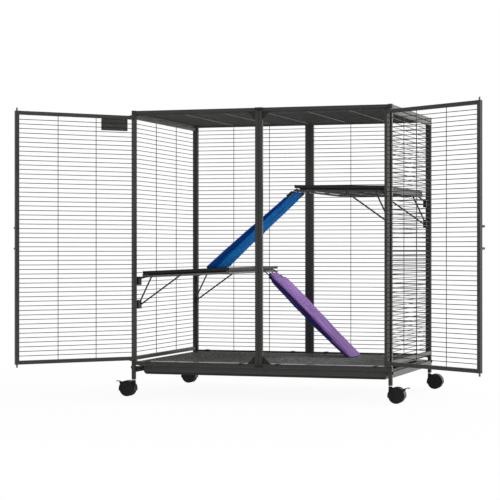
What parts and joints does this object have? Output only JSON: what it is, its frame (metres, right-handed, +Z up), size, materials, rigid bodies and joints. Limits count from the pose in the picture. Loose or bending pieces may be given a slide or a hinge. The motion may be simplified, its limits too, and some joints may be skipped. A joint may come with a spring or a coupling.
{
  "type": "ferret cage",
  "caption": "Tall square-tube wire cage on casters with open double doors, hung shelves, padded ramps and a slide-out pan.",
  "frame": {"origin": "on the floor under the centre of the cage's frame", "axes": "+X to the right seen from the front, +Y to the back, +Z up; the doors are on the -Y side"},
  "size_m": [1.5501, 0.9915, 0.9793],
  "materials": {
    "grey_frame": "dark grey hammertone powder coat, low gloss",
    "grey_wire": "dark grey powder coat on wire, low gloss",
    "dark_bracket": "near-black powder coat, matt",
    "black_plastic": "black moulded plastic, matt with a soft sheen",
    "bright_steel": "zinc-plated steel, satin",
    "pan_grey": "dark grey painted sheet, low gloss",
    "shelf_black": "black moulded plastic tray, fine grain",
    "purple_cover": "pile fabric, purple on top, blue on the sides and the underside",
    "blue_cover": "pile fabric, blue on the sides and the underside, purple on top",
    "tread": "black hard rubber wheel"
  },
  "bodies": {
    "cage": {"left_side_frame": "grey_frame", "left_side_wires": "grey_wire", "right_side_frame": "grey_frame", "right_side_wires": "grey_wire", "back_left_frame": "grey_frame", "back_left_wires": "grey_wire", "back_right_frame": "grey_frame", "back_right_wires": "grey_wire", "front_left_frame": "grey_frame", "front_right_frame": "grey_frame", "front_gussets": "dark_bracket", "top_wires": "grey_wire", "floor_left_grille": "grey_wire", "floor_right_grille": "grey_wire", "pan_runners": "grey_frame", "post_caps": "black_plastic", "panel_bolts": "black_plastic", "top_frame": "grey_frame", "grille_clips": "dark_bracket", "hinge_brackets": "grey_frame", "bolt_keepers": "dark_bracket", "caster_stems": "bright_steel", "lower_shelf_frame": "grey_frame", "lower_shelf_tray": "shelf_black", "lower_shelf_hangers": "grey_frame", "lower_shelf_clips": "black_plastic", "upper_shelf_frame": "grey_frame", "upper_shelf_tray": "shelf_black", "upper_shelf_hangers": "grey_frame", "upper_shelf_clips": "black_plastic"},
    "left_door": {"left_door_frame": "grey_frame", "left_door_wires": "grey_wire", "left_door_plate": "grey_frame"},
    "right_door": {"right_door_frame": "grey_frame", "right_door_wires": "grey_wire"},
    "left_top_bolt": {"left_top_bolt": "bright_steel"},
    "left_bottom_bolt": {"left_bottom_bolt": "bright_steel"},
    "right_top_bolt": {"right_top_bolt": "bright_steel"},
    "right_bottom_bolt": {"right_bottom_bolt": "bright_steel"},
    "pan": {"pan": "pan_grey"},
    "lower_ramp": {"lower_ramp_frame": "grey_wire", "lower_ramp_cover": "purple_cover", "lower_ramp_clips": "black_plastic"},
    "upper_ramp": {"upper_ramp_frame": "grey_wire", "upper_ramp_cover": "blue_cover", "upper_ramp_clips": "black_plastic"},
    "front_left_caster": {"front_left_caster_housing": "black_plastic"},
    "front_left_wheels": {"front_left_caster_wheels": "tread", "front_left_caster_axle": "bright_steel"},
    "front_right_caster": {"front_right_caster_housing": "black_plastic"},
    "front_right_wheels": {"front_right_caster_wheels": "tread", "front_right_caster_axle": "bright_steel"},
    "rear_left_caster": {"rear_left_caster_housing": "black_plastic"},
    "rear_left_wheels": {"rear_left_caster_wheels": "tread", "rear_left_caster_axle": "bright_steel"},
    "rear_right_caster": {"rear_right_caster_housing": "black_plastic"},
    "rear_right_wheels": {"rear_right_caster_wheels": "tread", "rear_right_caster_axle": "bright_steel"},
    "front_left_brake": {"front_left_brake_lever": "black_plastic"},
    "front_right_brake": {"front_right_brake_lever": "black_plastic"}
  },
  "joints": [
    {"name": "left_door_hinge", "type": "hinge", "parent": "cage", "child": "left_door", "pos_m": [-0.442, -0.3263, 0.542], "axis": [0, 0, 1], "range_deg": [-47, 130.8]},
    {"name": "right_door_hinge", "type": "hinge", "parent": "cage", "child": "right_door", "pos_m": [0.442, -0.3263, 0.542], "axis": [0, 0, 1], "range_deg": [-143.7, 34.3]},
    {"name": "left_top_bolt_slide", "type": "slide", "parent": "left_door", "child": "left_top_bolt", "axis": [0, 0, 1], "range_m": [0, 0.012]},
    {"name": "left_bottom_bolt_slide", "type": "slide", "parent": "left_door", "child": "left_bottom_bolt", "axis": [0, 0, -1], "range_m": [0, 0.012]},
    {"name": "right_top_bolt_slide", "type": "slide", "parent": "right_door", "child": "right_top_bolt", "axis": [0, 0, 1], "range_m": [0, 0.012]},
    {"name": "right_bottom_bolt_slide", "type": "slide", "parent": "right_door", "child": "right_bottom_bolt", "axis": [0, 0, -1], "range_m": [0, 0.012]},
    {"name": "pan_slide", "type": "slide", "parent": "cage", "child": "pan", "axis": [0, -1, 0], "range_m": [0, 0.5]},
    {"name": "lower_ramp_lift", "type": "hinge", "parent": "cage", "child": "lower_ramp", "pos_m": [-0.11696, 0.171, 0.42336], "axis": [0, -1, 0], "range_deg": [0, 50]},
    {"name": "upper_ramp_lift", "type": "hinge", "parent": "cage", "child": "upper_ramp", "pos_m": [0.11724, -0.2, 0.69995], "axis": [0, 1, 0], "range_deg": [0, 50]},
    {"name": "front_left_swivel", "type": "hinge", "parent": "cage", "child": "front_left_caster", "pos_m": [-0.45065, -0.31115, 0.05], "axis": [0, 0, 1], "continuous": true},
    {"name": "front_left_roll", "type": "hinge", "parent": "front_left_caster", "child": "front_left_wheels", "pos_m": [-0.47165, -0.31115, 0.026], "axis": [0, 1, 0], "continuous": true},
    {"name": "front_right_swivel", "type": "hinge", "parent": "cage", "child": "front_right_caster", "pos_m": [0.45065, -0.31115, 0.05], "axis": [0, 0, 1], "continuous": true},
    {"name": "front_right_roll", "type": "hinge", "parent": "front_right_caster", "child": "front_right_wheels", "pos_m": [0.47165, -0.31115, 0.026], "axis": [0, 1, 0], "continuous": true},
    {"name": "rear_left_swivel", "type": "hinge", "parent": "cage", "child": "rear_left_caster", "pos_m": [-0.45065, 0.31115, 0.05], "axis": [0, 0, 1], "continuous": true},
    {"name": "rear_left_roll", "type": "hinge", "parent": "rear_left_caster", "child": "rear_left_wheels", "pos_m": [-0.47165, 0.31115, 0.026], "axis": [0, 1, 0], "continuous": true},
    {"name": "rear_right_swivel", "type": "hinge", "parent": "cage", "child": "rear_right_caster", "pos_m": [0.45065, 0.31115, 0.05], "axis": [0, 0, 1], "continuous": true},
    {"name": "rear_right_roll", "type": "hinge", "parent": "rear_right_caster", "child": "rear_right_wheels", "pos_m": [0.47165, 0.31115, 0.026], "axis": [0, 1, 0], "continuous": true},
    {"name": "front_left_brake_tread", "type": "hinge", "parent": "front_left_caster", "child": "front_left_brake", "pos_m": [-0.49718, -0.31115, 0.04595], "axis": [0, -1, 0], "range_deg": [0, 20]},
    {"name": "front_right_brake_tread", "type": "hinge", "parent": "front_right_caster", "child": "front_right_brake", "pos_m": [0.49718, -0.31115, 0.04595], "axis": [0, 1, 0], "range_deg": [0, 20]}
  ]
}
